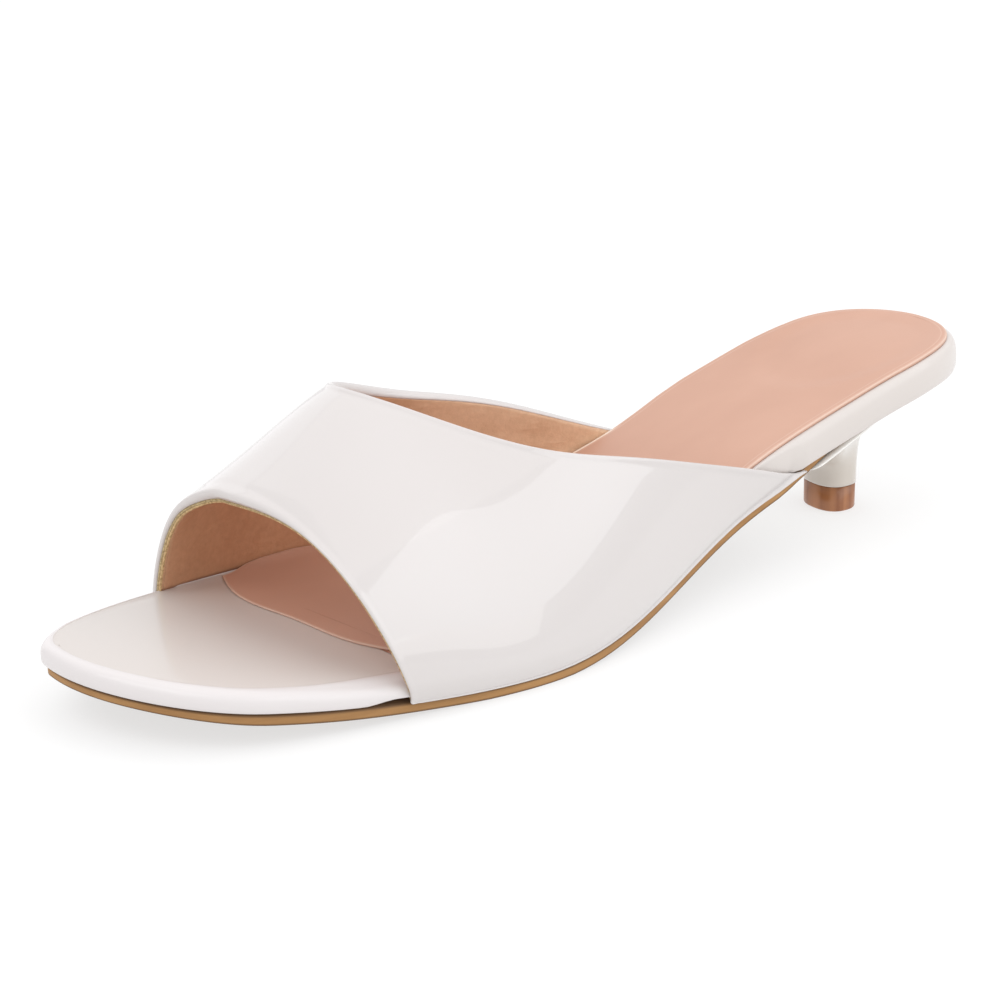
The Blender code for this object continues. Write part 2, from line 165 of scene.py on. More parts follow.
# The wrapped edge of the footbed, finer than on the solids. Under its widest line a row is a step
# in and a share of the thickness from the top; over it, a share of the run up to the crease, a
# share from the top and a bead that stands over the flat top, in millimetres
EDGE_UNDER = (
    Edge(0.0014, 1.00),
    Edge(0.0007, 0.98),
    Edge(0.0003, 0.94),
    Edge(0.0001, 0.87),
    Edge(0.0000, 0.75),
    Edge(0.0000, 0.55),
)
Crown = namedtuple("Crown", "share drop bead")
EDGE_OVER = (
    Crown(0.03, 0.40, 0.00),
    Crown(0.09, 0.28, 0.00),
    Crown(0.19, 0.17, 0.00),
    Crown(0.32, 0.09, 0.02),
    Crown(0.48, 0.04, 0.04),
    Crown(0.65, 0.01, 0.07),
    Crown(0.80, 0.00, 0.10),
    Crown(0.90, 0.00, 0.11),
    Crown(0.96, 0.00, 0.09),
    Crown(1.00, 0.00, 0.02),
    Crown(1.03, 0.00, -0.06),
    Crown(1.08, 0.00, -0.05),
    Crown(1.20, 0.00, 0.00),
)
Crease = namedtuple("Crease", "along near far")
CREASE = (
    Crease(0.030, 2.8, 2.6),
    Crease(0.050, 2.8, 0.9),
    Crease(0.150, 2.8, 0.9),
    Crease(0.172, 6.9, 0.9),
    Crease(0.186, 6.9, 0.9),
    Crease(0.193, 6.3, 0.9),
    Crease(0.200, 5.4, 0.9),
    Crease(0.209, 4.3, 0.9),
    Crease(0.217, 4.0, 0.9),
    Crease(0.231, 4.1, 0.9),
    Crease(0.238, 3.8, 1.0),
    Crease(0.244, 3.6, 2.0),
    Crease(0.248, 3.2, 3.2),
)
BEAD_STARTS = (0.160, 0.180)
LIFT = 0.0012             # how far the wrap's foot rises where it goes under the upper
LIFT_RUN = 0.008
LIFT_BACK = (0.110, 0.150)  # and the lengths over which that rise ends towards the heel
MILLI = 0.001

# The outer side of the upper's foot, rolled in under the footbed: drop and swell in millimetres
Roll = namedtuple("Roll", "along drop swell")
ROLL = (
    Roll(0.0650, 1.00, 1.30),
    Roll(0.0720, 0.95, 1.15),
    Roll(0.0780, 0.65, 0.80),
    Roll(0.0860, 0.45, 0.60),
    Roll(0.0970, 0.42, 0.55),
    Roll(0.1080, 0.45, 0.50),
    Roll(0.1220, 0.30, 0.38),
    Roll(0.1400, 0.25, 0.30),
    Roll(0.1500, 0.32, 0.30),
    Roll(0.1650, 0.25, 0.25),
    Roll(0.1900, 0.20, 0.20),
)
ROLL_INNER = Roll(0.0, 0.30, 0.30)
ROLL_ANGLES = (-60, -30, 0, 30, 60, 90)
ROLL_LAP = 0.0034         # how far the roll runs on past the outer wing's tip
ROLL_LAP_RUN = 0.012

# Sections of the upper's edges, in millimetres: distance back from the cut and depth under the
# outer face, on the near side and from the ridge over to the far side, where the edge is padded
OPENING_FOLD = (
    Fold(2.60, 0.00, 5.20, 0.00),
    Fold(2.10, 0.02, 4.30, 0.02),
    Fold(1.70, 0.04, 3.60, 0.06),
    Fold(1.35, 0.03, 3.10, 0.07),
    Fold(1.00, -0.01, 2.50, 0.03),
    Fold(0.68, -0.05, 1.80, -0.02),
    Fold(0.38, -0.05, 1.10, -0.05),
    Fold(0.16, 0.04, 0.50, 0.00),
    Fold(0.04, 0.18, 0.16, 0.26),
    Fold(0.00, 0.35, 0.02, 0.80),
    Fold(0.00, 0.50, 0.00, 1.40),
    Fold(0.04, 0.62, 0.08, 1.85),
    Fold(0.14, 0.70, 0.28, 2.20),
    Fold(0.50, 0.74, 0.70, 2.35),
)
RAW_EDGE = (
    Fold(0.60, 0.74, 0.90, 2.20),
    Fold(0.16, 0.78, 0.34, 2.32),
    Fold(0.08, 0.90, 0.22, 2.50),
    Fold(0.12, 1.08, 0.24, 2.72),
    Fold(0.24, 1.20, 0.36, 2.86),
    Fold(0.12, 1.32, 0.28, 2.98),
    Fold(0.10, 1.50, 0.26, 3.18),
    Fold(0.20, 1.68, 0.40, 3.40),
    Fold(0.80, 1.72, 1.30, 3.46),
)
RAW_STRANDS = (0.1, 0.4, 0.5, 0.5, 0.1, 1.0, 1.0, 0.9, 0.6)   # dark, olive or orange
RIM_TURNS = (0.30, 0.50, 0.58, 0.68, 0.80, 1.00)
RIM_SHARES = (1.00, 1.08, 0.98, 0.70, 0.56, 0.50)     # how deep the patent turns in over the rim
RIM_DEPTH = 2.30                                # on average, in millimetres
TOP_FOLD = (
    Fold(1.30, 1.80, 1.70, 2.45),
    Fold(0.80, 1.88, 1.25, 2.40),
    Fold(0.50, 1.88, 0.75, 2.15),
    Fold(0.26, 1.74, 0.36, 1.78),
    Fold(0.06, 1.40, 0.10, 1.34),
    Fold(0.00, 0.92, 0.00, 0.86),
    Fold(0.00, 0.48, 0.00, 0.42),
    Fold(0.03, 0.12, 0.04, 0.10),
    Fold(0.18, -0.14, 0.20, -0.14),
    Fold(0.46, -0.22, 0.48, -0.22),
    Fold(0.85, -0.18, 0.85, -0.18),
    Fold(1.25, -0.06, 1.25, -0.07),
    Fold(1.65, 0.03, 1.65, 0.03),
    Fold(2.20, 0.03, 2.20, 0.03),
    Fold(2.90, 0.00, 2.90, 0.00),
)
COLLAR_PAD = 0.0006       # padding under the lining at the far side of the collar
COLLAR_RUN = 0.009
RIDGE_TURNS = (0.30, 0.50)
PATENT = 0.0010           # thickness of the patent and its backing
PAD_RUN = 0.013


def cubic(rows, column):
    """Returns a natural cubic through one column of a table, read against the first column."""
    x = np.array([row[0] for row in rows])
    y = np.array([getattr(row, column) for row in rows])
    step = np.diff(x)
    bend = np.zeros(len(x))
    system = np.diag(2 * (step[:-1] + step[1:])) + np.diag(step[1:-1], 1) + np.diag(step[1:-1], -1)
    bend[1:-1] = np.linalg.solve(system, 6 * np.diff(np.diff(y) / step))

    def read(at):
        at = np.clip(at, x[0], x[-1])
        i = np.clip(np.searchsorted(x, at, side="right") - 1, 0, len(x) - 2)
        before, after, run = at - x[i], x[i + 1] - at, step[i]
        curved = (bend[i] * after ** 3 + bend[i + 1] * before ** 3) / (6 * run)
        start = (y[i] / run - bend[i] * run / 6) * after
        end = (y[i + 1] / run - bend[i + 1] * run / 6) * before
        return curved + start + end

    return read


spread_at = cubic(PLAN, "spread")
middle_at = cubic(PLAN, "middle")
fall_at = cubic(PROFILE, "fall")
spring_at = cubic(PROFILE, "spring")
rise_at = cubic(VAMP, "rise")
ridge_at = cubic(VAMP, "ridge")
outer_power_at = cubic(VAMP, "outer_power")
inner_power_at = cubic(VAMP, "inner_power")
top_line_at = cubic(CUTS, "top_line")
opening_at = cubic(CUTS, "opening")
BALL_TOP = BOARD_TOE + GAP + OUTSOLE - TREAD_FLAT


def ease(value, start, end):
    """0 before start, 1 after end, smooth between."""
    share = np.clip((value - start) / (end - start), 0.0, 1.0)
    return share * share * (3 - 2 * share)


def within(value, rise, fall):
    """1 between two spans and 0 outside them, smooth over both."""
    return ease(value, *rise) * (1 - ease(value, *fall))


def cap(run, length, power):
    reach = np.clip(1 - run / length, 0.0, 1.0)
    return (1 - reach ** power) ** (1 / power)


def outline(along, side):
    """How far across the foot the footbed's edge lies."""
    share = along / LENGTH
    half = (WAIST_WIDTH + (BALL_WIDTH - WAIST_WIDTH) * spread_at(share)) / 2
    toe_round = np.where(side > 0, TOE_ROUND_OUTER, TOE_ROUND_INNER)
    toe_power = np.where(side > 0, TOE_POWER_OUTER, TOE_POWER_INNER)
    rounding = cap(along, HEEL_ROUND, HEEL_POWER) * cap(LENGTH - along, toe_round, toe_power)
    return TOE_SWING * middle_at(share) + side * half * rounding


def top(along):
    share = along / LENGTH
    return BALL_TOP + (SEAT_HEIGHT - BALL_TOP) * fall_at(share) + TOE_SPRING * spring_at(share)


def board(along):
    share = along / LENGTH
    arch = within(share, ARCH_RISES, ARCH_ENDS)
    return BOARD_HEEL + (BOARD_TOE - BOARD_HEEL) * ease(share, *THICKENS) + BOARD_ARCH * arch


def feather(along):
    """Height of the feather line, where the footbed's underside and the upper's foot lie."""
    return top(along) - board(along)


def outsole_bottom(along):
    thickness = OUTSOLE_SKIVED + (OUTSOLE - OUTSOLE_SKIVED) * ease(along / LENGTH, *SKIVES)
    return np.maximum(feather(along) - GAP - thickness, 0.0)


def wing_tip(side):
    return LENGTH * top_line_at(0.0 if side > 0 else 1.0)


def wall(along, side):
    return WALL_SKIVED + (WALL - WALL_SKIVED) * ease(along - wing_tip(side), 0.0, SKIVE_RUN)


def swell(along, side):
    full = PROUD_WAIST + (PROUD_TOE - PROUD_WAIST) * ease(along / LENGTH, *SWELLS)
    return full * ease(along - wing_tip(side), 0.0, SKIVE_RUN)


def either(measure, along, side):
    """A measure that is made for one side at a time, read for mixed sides."""
    return np.where(side > 0, measure(along, OUTER), measure(along, INNER))


def tuck(height):
    low = np.clip(1 - height / TUCK_HEIGHT, 0.0, 1.0)
    return TUCK * low * low


def vamp_height(along):
    return OPENING_HEIGHT + (VAMP_HEIGHT - OPENING_HEIGHT) * rise_at(along / LENGTH)


def upper_point(along, turn):
    """A point of the upper's outer face, at a length and a turn over the foot from 0 to 1."""
    angle = math.pi * turn
    across, up = np.cos(angle), np.clip(np.sin(angle), 0.0, 1.0)
    side = np.where(across >= 0, OUTER, INNER)
    share = along / LENGTH
    power = np.where(across >= 0, outer_power_at(share), inner_power_at(share))
    ridge = BALL_WIDTH * ridge_at(share)
    foot = outline(along, side) + side * either(swell, along, side)
    height = vamp_height(along) * up ** (2 / power)
    drawn = ridge + (foot - ridge) * np.abs(across) ** (2 / power) - side * tuck(height)
    return np.stack(np.broadcast_arrays(along, drawn, feather(along) + height), axis=-1)


def lean(along, side, height):
    share = along / LENGTH
    power = outer_power_at(share) if side > 0 else inner_power_at(share)
    reach = abs(outline(along, side) - BALL_WIDTH * ridge_at(share))
    up = np.clip(height / vamp_height(along), 0.0, 1.0)
    return reach * (1 - (1 - up ** power) ** (1 / power)) + tuck(height)


def covered(side):
    """The lengths between which the footbed's edge lies under the upper."""
    turns = (0.0, FOOT_TURN) if side > 0 else (1.0, 1.0 - FOOT_TURN)
    front = LENGTH * max(float(opening_at(turn)) for turn in turns)
    return wing_tip(side) - TIP_CLEARANCE, front + GAP


def front_edge(side, height):
    """Length at which the upper's front edge stands at a height over its foot."""
    share = float(opening_at(0.0 if side > 0 else 1.0))
    power = float(outer_power_at(share) if side > 0 else inner_power_at(share))
    rise = np.clip(height / vamp_height(LENGTH * share), 0.0, 1.0) ** (power / 2)
    turn = np.arcsin(rise) / math.pi
    return LENGTH * opening_at(turn if side > 0 else 1 - turn)


def cover(along, side, height):
    """How far the footbed stands in under the upper, and 0 where it is bare."""
    slant = (lean(along, side, height + SLANT_STEP) - lean(along, side, height)) / SLANT_STEP
    thick = (wall(along, side) + GAP) * np.sqrt(1 + slant ** 2)
    inside = thick - swell(along, side) + lean(along, side, height)
    back = covered(side)[0]
    front = front_edge(side, height)
    in_front = ease(along, front - FRONT_STEP, front - FRONT_STEP / 4)
    return inside * ease(along, back - TIP_STEP, back) * (1 - in_front)


def loop_of(outer, inner):
    return np.concatenate([outer, inner[-2:0:-1]])


def inward_of(loop):
    tangent = np.roll(loop, -1, axis=0) - np.roll(loop, 1, axis=0)
    inward = np.stack([tangent[:, 1], -tangent[:, 0]], axis=1)
    return inward / np.linalg.norm(inward, axis=1, keepdims=True)


def rim(along, inset):
    """The footbed's outline as a loop, drawn in by inset(along, side)."""
    loop = loop_of(*[np.stack([along, outline(along, side)], axis=1) for side in (OUTER, INNER)])
    depth = loop_of(*[inset(along, side) for side in (OUTER, INNER)])
    return loop + inward_of(loop) * depth[:, None]


def oval(length_at, side_at, back, front, half, back_power, front_power, points):
    angle = np.linspace(math.pi, 0.0, 2 * points + 1)
    behind = np.cos(angle) < 0
    power = np.where(behind, back_power, front_power)
    reach = np.where(behind, back, front)
    along = length_at + reach * np.sign(np.cos(angle)) * np.abs(np.cos(angle)) ** (2 / power)
    across = half * np.clip(np.sin(angle), 0.0, 1.0) ** (2 / power)
    return loop_of(*[np.stack([along, side_at + side * across], axis=1) for side in (OUTER, INNER)])


WIDE_PART = np.linspace(0.4, 0.8, 81) * LENGTH
OUTMOST = (outline(WIDE_PART, OUTER) + swell(WIDE_PART, OUTER)).max()
INMOST = (outline(WIDE_PART, INNER) - swell(WIDE_PART, INNER)).min()
MIDDLE_X = (OUTMOST + INMOST) / 2
MIDDLE_Y = LENGTH / 2


def place(points):
    """Rows of length, side and height on the foot to the model's own axes."""
    points = np.asarray(points, float)
    return np.stack([points[..., 1] - MIDDLE_X, MIDDLE_Y - points[..., 0], points[..., 2]], axis=-1)


def stations(count):
    """Lengths of the footbed's sections, close at both ends and at the ends of the upper."""
    even = LENGTH * (1 - np.cos(math.pi * np.arange(count + 1) / count)) / 2
    steps = []
    for side in (OUTER, INNER):
        back, front = covered(side)
        steps += [back, front, front + FRONT_STEP]
    apart = LENGTH / count / 2
    kept = [along for along in even if all(abs(along - step) > apart for step in steps)]
    return np.array(sorted(kept + steps))


# Making of pieces

def add_piece(name, points, faces, finish, replaced, marks=None):
    mesh = bpy.data.meshes.new(name)
    mesh.from_pydata([tuple(point) for point in points], [], faces)
    mesh.materials.append(finish)
    for key, values in (marks or {}).items():
        mark = mesh.attributes.new(key, "FLOAT", "POINT")
        mark.data.foreach_set("value", np.asarray(values, np.float32))
    shape = bmesh.new()
    shape.from_mesh(mesh)
    bmesh.ops.recalc_face_normals(shape, faces=shape.faces)
    bmesh.ops.triangulate(shape, faces=[f for f in shape.faces if len(f.verts) > 4])
    shape.to_mesh(mesh)
    shape.free()
    mesh.shade_smooth()
    piece = bpy.data.objects.new(name, mesh)
    bpy.context.scene.collection.objects.link(piece)
    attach(piece, "root")
    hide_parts(*replaced)


def ring_faces(rings, size):
    """Quads between stacked loops of one size."""
    faces = []
    for level in range(rings - 1):
        low, high = level * size, (level + 1) * size
        for i in range(size):
            j = (i + 1) % size
            faces.append((low + i, low + j, high + j, high + i))
    return faces


def cap_faces(base, size):
    """Crosswise faces that close a loop made of two halves."""
    half = size // 2
    faces = [(base, base + 1, base + size - 1)]
    for i in range(1, half - 1):
        faces.append((base + i, base + i + 1, base + size - i - 1, base + size - i))
    faces.append((base + half - 1, base + half, base + half + 1))
    return faces


def loft(name, rings, finish, replaced, marks=None):
    size = len(rings[0][0])
    points = np.concatenate([np.column_stack([loop, heights]) for loop, heights in rings])
    faces = ring_faces(len(rings), size)
    faces += cap_faces(0, size) + cap_faces((len(rings) - 1) * size, size)
    add_piece(name, place(points), faces, finish, replaced, marks)


# Materials

class Nodes:
    """A short hand for building a node material."""

    def __init__(self, name):
        self.material = bpy.data.materials.new(name)
        self.material.use_nodes = True
        self.tree = self.material.node_tree
        self.surface = self.tree.nodes["Principled BSDF"]
        self.coordinates = self.add("ShaderNodeTexCoord").outputs["Object"]

    def add(self, kind, **settings):
        node = self.tree.nodes.new(kind)
        for key, value in settings.items():
            setattr(node, key, value)
        return node

    def link(self, output, target):
        self.tree.links.new(output, target)

    def noise(self, scale, detail=3.0, roughness=0.5, stretch=(1.0, 1.0, 1.0), distortion=0.0):
        spread = self.add("ShaderNodeMapping")
        spread.inputs["Scale"].default_value = stretch
        self.link(self.coordinates, spread.inputs["Vector"])
        node = self.add("ShaderNodeTexNoise")
        node.inputs["Scale"].default_value = scale
        node.inputs["Detail"].default_value = detail
        node.inputs["Roughness"].default_value = roughness
        node.inputs["Distortion"].default_value = distortion
        self.link(spread.outputs["Vector"], node.inputs["Vector"])
        return node.outputs["Fac"]

    def ramp(self, value, stops):
        node = self.add("ShaderNodeValToRGB")
        while len(node.color_ramp.elements) < len(stops):
            node.color_ramp.elements.new(0.5)
        for element, (at, colour) in zip(node.color_ramp.elements, stops):
            element.position = at
            element.color = (*colour, 1.0)
        self.link(value, node.inputs["Fac"])
        return node.outputs["Color"]

    def span(self, value, low, high):
        node = self.add("ShaderNodeMapRange")
        node.inputs["To Min"].default_value = low
        node.inputs["To Max"].default_value = high
        self.link(value, node.inputs["Value"])
        return node.outputs["Result"]

    def mix(self, share, first, second):
        node = self.add("ShaderNodeMix", data_type="RGBA")
        for value, socket in ((share, "Factor"), (first, "A"), (second, "B")):
            target = node.inputs[socket]
            if isinstance(value, tuple):
                target.default_value = (*value, 1.0)
            else:
                self.link(value, target)
        return node.outputs["Result"]

    def times(self, first, second):
        node = self.add("ShaderNodeMix", data_type="RGBA", blend_type="MULTIPLY")
        node.inputs["Factor"].default_value = 1.0
        self.link(first, node.inputs["A"])
        self.link(second, node.inputs["B"])
        return node.outputs["Result"]

    def mark(self, name):
        return self.add("ShaderNodeAttribute", attribute_name=name).outputs["Fac"]

    def bump(self, height, distance, strength=1.0, below=None):
        node = self.add("ShaderNodeBump")
        node.inputs["Strength"].default_value = strength
        node.inputs["Distance"].default_value = distance
        self.link(height, node.inputs["Height"])
        if below is not None:
            self.link(below, node.inputs["Normal"])
        return node.outputs["Normal"]

    def finish(self, colour=None, roughness=None, normal=None, **sockets):
        if colour is not None:
            self.link(colour, self.surface.inputs["Base Color"])
        if roughness is not None:
            self.link(roughness, self.surface.inputs["Roughness"])
        if normal is not None:
            self.link(normal, self.surface.inputs["Normal"])
        for key, value in sockets.items():
            self.surface.inputs[key.replace("_", " ")].default_value = value
        return self.material


def patent_finish(name, warm, cool, ripple=0.5, coat=0.03, weight=1.0, painted_light=None):
    """Glossy patent: a soft cream body under a clear coat, with a faint ripple.

    Where a mark for painted light is given, it is the name of a mark and the lighter colour painted on
    the marked part.
    """
    nodes = Nodes(name)
    cloud = nodes.noise(28, detail=2.0)
    colour = nodes.mix(cloud, warm, cool)
    if painted_light is not None:
        colour = nodes.mix(nodes.mark(painted_light[0]), colour, painted_light[1])
    normal = nodes.bump(nodes.noise(110, detail=1.0), 0.00003, ripple)
    material = nodes.finish(colour, None, normal, Roughness=0.35, Specular_IOR_Level=weight / 2,
                            Coat_Weight=weight, Coat_Roughness=coat, Coat_IOR=1.55)
    nodes.link(normal, nodes.surface.inputs["Coat Normal"])
    return material


def sock_finish():
    nodes = Nodes("salmon sock leather")
    blotch = nodes.noise(22, detail=4.0, roughness=0.6, stretch=(1.0, 0.5, 1.0))
    leather = nodes.ramp(blotch, ((0.30, (0.56, 0.316, 0.228)), (0.70, (0.635, 0.374, 0.276))))
    # the rim's cream is the sock's cut edge, and at the collar it is also a painted highlight
    colour = nodes.mix(nodes.mark("rim"), leather, (0.88, 0.74, 0.62))
    grain = nodes.noise(1500, detail=3.0)
    normal = nodes.bump(grain, 0.00006, 0.35)
    gloss = nodes.span(blotch, 0.42, 0.55)
    return nodes.finish(colour, gloss, normal, Specular_IOR_Level=0.45)


def lining_finish():
    nodes = Nodes("tan lining")
    blotch = nodes.noise(35, detail=4.0, roughness=0.6)
    new = nodes.ramp(blotch, ((0.30, (0.575, 0.30, 0.165)), (0.70, (0.705, 0.40, 0.235))))
    # a paler copy of the lining: painted light on the collar
    painted_collar_light = nodes.ramp(blotch, ((0.30, (0.74, 0.475, 0.30)), (0.70, (0.88, 0.60, 0.405))))
    leather = nodes.mix(nodes.mark("painted_collar_light"), new, painted_collar_light)
    grain = nodes.noise(700, detail=5.0, roughness=0.7)
    mottled = nodes.ramp(grain, ((0.35, (0.90, 0.88, 0.86)), (0.65, (1.0, 1.0, 1.0))))
    # painted shade: the lining's foot is darkened where it meets the footbed
    colour = nodes.mix(nodes.mark("foot"), nodes.times(leather, mottled), (0.24, 0.11, 0.06))
    wrinkle = nodes.noise(140, detail=4.0, stretch=(1.0, 0.4, 1.0), distortion=0.6)
    normal = nodes.bump(wrinkle, 0.0012, 0.45, nodes.bump(grain, 0.00015, 0.6))
    gloss = nodes.span(grain, 0.45, 0.62)
    return nodes.finish(colour, gloss, normal)


def raw_edge_finish():
    nodes = Nodes("raw edge")
    strands = nodes.ramp(nodes.mark("strand"), ((0.0, (0.36, 0.22, 0.09)), (0.3, (0.52, 0.39, 0.20)),
                                                (0.5, (0.62, 0.49, 0.27)), (0.8, (0.72, 0.50, 0.25)),
                                                (1.0, (0.76, 0.54, 0.28))))
    fleck = nodes.noise(1700, detail=3.0, roughness=0.7)
    speckled = nodes.ramp(fleck, ((0.38, (0.55, 0.48, 0.42)), (0.62, (1.0, 1.0, 1.0))))
    colour = nodes.times(strands, speckled)
    normal = nodes.bump(fleck, 0.0003, 0.8)
    return nodes.finish(colour, None, normal, Roughness=0.8)


def outsole_finish():
    nodes = Nodes("tan outsole")
    streak = nodes.noise(60, detail=5.0, roughness=0.6, stretch=(1.0, 0.4, 6.0))
    tan = nodes.ramp(streak, ((0.30, (0.34, 0.170, 0.060)), (0.70, (0.49, 0.262, 0.098))))
    # painted shade along the top and bottom corners of the outsole's edge
    colour = nodes.mix(nodes.mark("line"), tan, (0.13, 0.07, 0.032))
    grain = nodes.noise(900, detail=3.0)
    normal = nodes.bump(grain, 0.0001, 0.4)
    return nodes.finish(colour, None, normal, Roughness=0.5, Specular_IOR_Level=0.3)


def top_piece_finish():
    nodes = Nodes("brown top piece")
    band = nodes.noise(260, detail=3.0, stretch=(1.0, 1.0, 0.06))
    colour = nodes.ramp(band, ((0.35, (0.24, 0.075, 0.022)), (0.65, (0.44, 0.18, 0.070))))
    grain = nodes.noise(700, detail=3.0, stretch=(1.0, 1.0, 0.2))
    normal = nodes.bump(grain, 0.0001, 0.4)
    return nodes.finish(colour, None, normal, Roughness=0.38, Coat_Weight=0.4)


# Pieces of the sole

OUTSOLE_STATIONS = 120
FOOTBED_STATIONS = 170
OUTSOLE_EDGE = (
    Edge(0.0005, 1.00),
    Edge(0.0002, 0.98),
    Edge(0.0000, 0.92),
    Edge(0.0000, 0.85),
    Edge(0.0000, 0.75),
    Edge(0.0000, 0.30),
    Edge(0.0001, 0.18),
    Edge(0.0003, 0.08),
    Edge(0.0006, 0.00),
)
OUTSOLE_SHADE_LINES = (1.0, 1.0, 1.0, 0.7, 0.1, 0.1, 0.6, 1.0, 1.0)    # painted shade, dark at both corners
OUTSOLE_ARCH = 0.0002     # how much deeper it hangs under the arch
OUTSOLE_TOE = 0.0006      # how much thinner it is trimmed at the toe
OUTSOLE_TRIM = (0.215, 0.240)


def make_outsole(finish):
    along = stations(OUTSOLE_STATIONS)
    rings, marks = [], []
    for row, dark in zip(OUTSOLE_EDGE, OUTSOLE_SHADE_LINES):
        def inset(at, side, row=row):
            seat = ease(at / LENGTH, *SKIVES)
            return OUTSOLE_STEP_SEAT + (OUTSOLE_STEP - OUTSOLE_STEP_SEAT) * seat + row.inset
        loop = rim(along, inset)
        arch = OUTSOLE_ARCH * within(loop[:, 0] / LENGTH, ARCH_RISES, ARCH_ENDS)
        trim = OUTSOLE_TOE * ease(loop[:, 0], *OUTSOLE_TRIM)
        high = feather(loop[:, 0]) - GAP
        low = np.maximum(outsole_bottom(loop[:, 0]) - arch + trim, 0.0)
        rings.append((loop, high + (low - high) * row.drop))
        marks.append(np.full(len(loop), dark))
    loft("outsole_sheet", rings, finish, ["outsole"], {"line": np.concatenate(marks)})


def crease_at(along, side):
    """How far in from the footbed's widest line its flat top begins."""
    rows = [row.near if side > 0 else row.far for row in CREASE]
    return np.interp(along, [row.along for row in CREASE], rows) * MILLI


def make_footbed(finish):
    along = stations(FOOTBED_STATIONS)
    lift_from = covered(OUTER)[1]
    rings, marks = [], []
    for row in EDGE_UNDER:
        def inset(at, side, row=row):
            return np.maximum(row.inset, cover(at, side, (1 - row.drop) * board(at)))
        loop = rim(along, inset)
        low = (row.drop - EDGE_UNDER[-1].drop) / (1 - EDGE_UNDER[-1].drop)
        lifted = LIFT * low * (loop[:, 1] > 0) * (1 - ease(loop[:, 0], lift_from, lift_from + LIFT_RUN))
        lifted = lifted * ease(loop[:, 0], *LIFT_BACK)
        rings.append((loop, top(loop[:, 0]) - row.drop * board(loop[:, 0]) + lifted))
        # the toe end of the wrap's side is marked for a lighter colour, painted light
        marks.append(ease(loop[:, 0], *BEAD_STARTS))
    for row in EDGE_OVER:
        def inset(at, side, row=row):
            drawn_in = cover(at, side, (1 - row.drop) * board(at))
            return np.maximum(row.share * crease_at(at, side), drawn_in)
        loop = rim(along, inset)
        bead = row.bead * MILLI * ease(loop[:, 0], *BEAD_STARTS)
        rings.append((loop, top(loop[:, 0]) - row.drop * board(loop[:, 0]) + bead))
        # and its crown up to the crease, with the same painted light
        marks.append(ease(loop[:, 0], *BEAD_STARTS) * (row.share < 1))
    loft("footbed_wrap", rings, finish, ["footbed"],
         {"band": np.concatenate(marks)})


SOCK_FINE = 900
SOCK_SIDE_POINTS = 150
SOCK_FRONT_POINTS = 36
SockRing = namedtuple("SockRing", "inset share rim inner_line")
SOCK_RINGS = (
    SockRing(0.0000, 0.00, 0.0, 0.0),
    SockRing(-0.0001, 0.45, 0.1, 0.0),
    SockRing(0.0001, 0.85, 0.5, 0.0),
    SockRing(0.0003, 0.98, 0.2, 0.0),
    SockRing(0.0008, 1.00, 0.0, 0.0),
    SockRing(0.0012, 1.00, 0.0, 0.0),
    SockRing(0.0014, 0.985, 0.0, 0.25),
    SockRing(0.0016, 1.00, 0.0, 0.0),
    SockRing(0.0022, 1.00, 0.0, 0.0),
)
FrontPoint = namedtuple("FrontPoint", "across along")
SOCK_FRONT_LINE = (
    FrontPoint(-0.034, 0.1907),
    FrontPoint(-0.024, 0.1937),
    FrontPoint(-0.014, 0.1937),
    FrontPoint(-0.003, 0.1906),
    FrontPoint(0.009, 0.1882),
    FrontPoint(0.018, 0.1853),
    FrontPoint(0.026, 0.1803),
)
SOCK_BED = 0.00005        # glue under the sock
SOCK_SKIVED = 0.00045     # its height over the footbed at the front edge
SOCK_SKIVES = (0.165, 0.192)
Margin = namedtuple("Margin", "along far")
SOCK_FAR_EDGE = (         # its margin on the inner side, in millimetres
    Margin(0.030, 2.5),
    Margin(0.043, 1.3),
    Margin(0.055, 0.9),
    Margin(0.064, 0.5),
    Margin(0.072, 0.8),
    Margin(0.079, 1.6),
    Margin(0.086, 2.2),
    Margin(0.120, 2.4),
    Margin(0.140, 3.4),
    Margin(0.150, 2.6),
    Margin(0.165, 0.6),
    Margin(0.182, 0.6),
    Margin(0.190, 2.6),
)
PAINTED_HIGHLIGHT_FROM = (0.084, 0.090)                      # where its inner edge at the collar gets a painted highlight
PAINTED_HIGHLIGHT_TO = (0.118, 0.124)
PAINTED_HIGHLIGHT_RINGS = 0.0010       # rings nearer to the edge than this carry that painted highlight
CORNER_SPREAD = 5         # points over which the rings are eased at the sock's corners
CORNER_ROUNDS = 6         # how often they are eased, and from which inset on
CORNER_INSET = 0.0005
CLIMB = 0.0010            # how far that edge climbs the lining there
CLIMB_FROM = (0.158, 0.170)
CLIMB_TO = (0.178, 0.189)
CLIMB_RUN = 0.003
LINE_ENDS = (0.08, 0.12)  # lengths over which the inner line of the sock's seam fades
SOCK_ROWS = 44            # columns across the sock's face
DISH = 0.0008             # depth of the dish moulded into the heel
DISH_AT = (0.030, 0.0)    # its middle
DISH_SIZE = (0.0225, 0.0185)
DISH_STEP = 0.16


sock_edge_front = cubic(SOCK_FRONT_LINE, "along")


